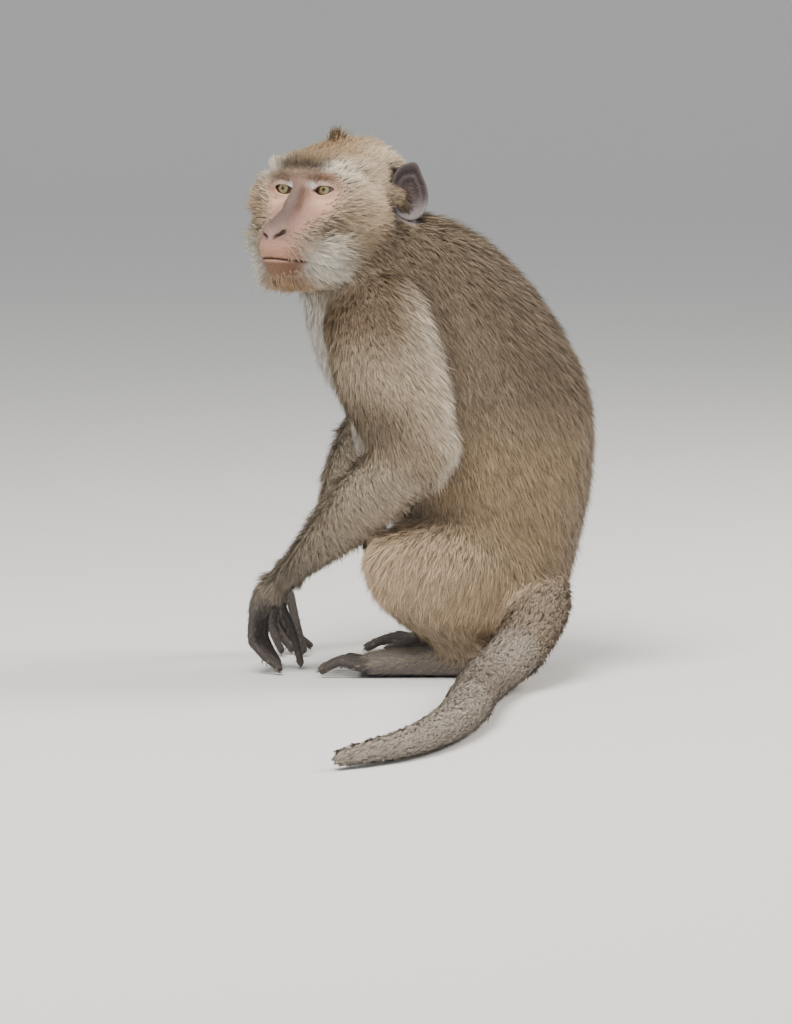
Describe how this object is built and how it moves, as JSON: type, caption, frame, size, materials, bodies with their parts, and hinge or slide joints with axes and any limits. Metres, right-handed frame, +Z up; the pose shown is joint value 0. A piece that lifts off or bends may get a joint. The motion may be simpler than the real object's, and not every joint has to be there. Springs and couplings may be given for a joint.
{
  "type": "long-tailed macaque",
  "caption": "Life-size long-tailed macaque in a hunched crouch, looking over its left shoulder, hands and tail on the floor.",
  "frame": {"origin": "middle of the footprint of the bounding box, on the floor", "axes": "+Z up; the trunk faces -Y and its left side is +X, the way the tail runs out; +X is the longest extent"},
  "size_m": [0.6192, 0.2578, 0.3935],
  "materials": {
    "coat": "grey-brown fur",
    "grey_coat": "grey fur",
    "dark_skin": "bare dark skin",
    "eye": "wet gloss"
  },
  "bodies": {
    "root": {"trunk": "coat", "neck": "coat", "head": "coat", "eye_left": "eye", "ear_left": "dark_skin", "upper_arm_left": "coat", "forearm_left": "coat", "hand_left": "dark_skin", "finger_left_1": "dark_skin", "finger_left_2": "dark_skin", "finger_left_3": "dark_skin", "finger_left_4": "dark_skin", "finger_left_5": "dark_skin", "thigh_left": "coat", "shank_left": "grey_coat", "foot_left": "dark_skin", "toe_left_1": "dark_skin", "toe_left_2": "dark_skin", "toe_left_3": "dark_skin", "toe_left_4": "dark_skin", "toe_left_5": "dark_skin", "tail_root": "grey_coat", "tail_middle": "grey_coat", "tail_tip": "grey_coat", "eye_right": "eye", "ear_right": "dark_skin", "upper_arm_right": "coat", "forearm_right": "coat", "hand_right": "dark_skin", "finger_right_1": "dark_skin", "finger_right_2": "dark_skin", "finger_right_3": "dark_skin", "finger_right_4": "dark_skin", "finger_right_5": "dark_skin", "thigh_right": "coat", "shank_right": "grey_coat", "foot_right": "dark_skin", "toe_right_1": "dark_skin", "toe_right_2": "dark_skin", "toe_right_3": "dark_skin", "toe_right_4": "dark_skin", "toe_right_5": "dark_skin"}
  },
  "joints": []
}
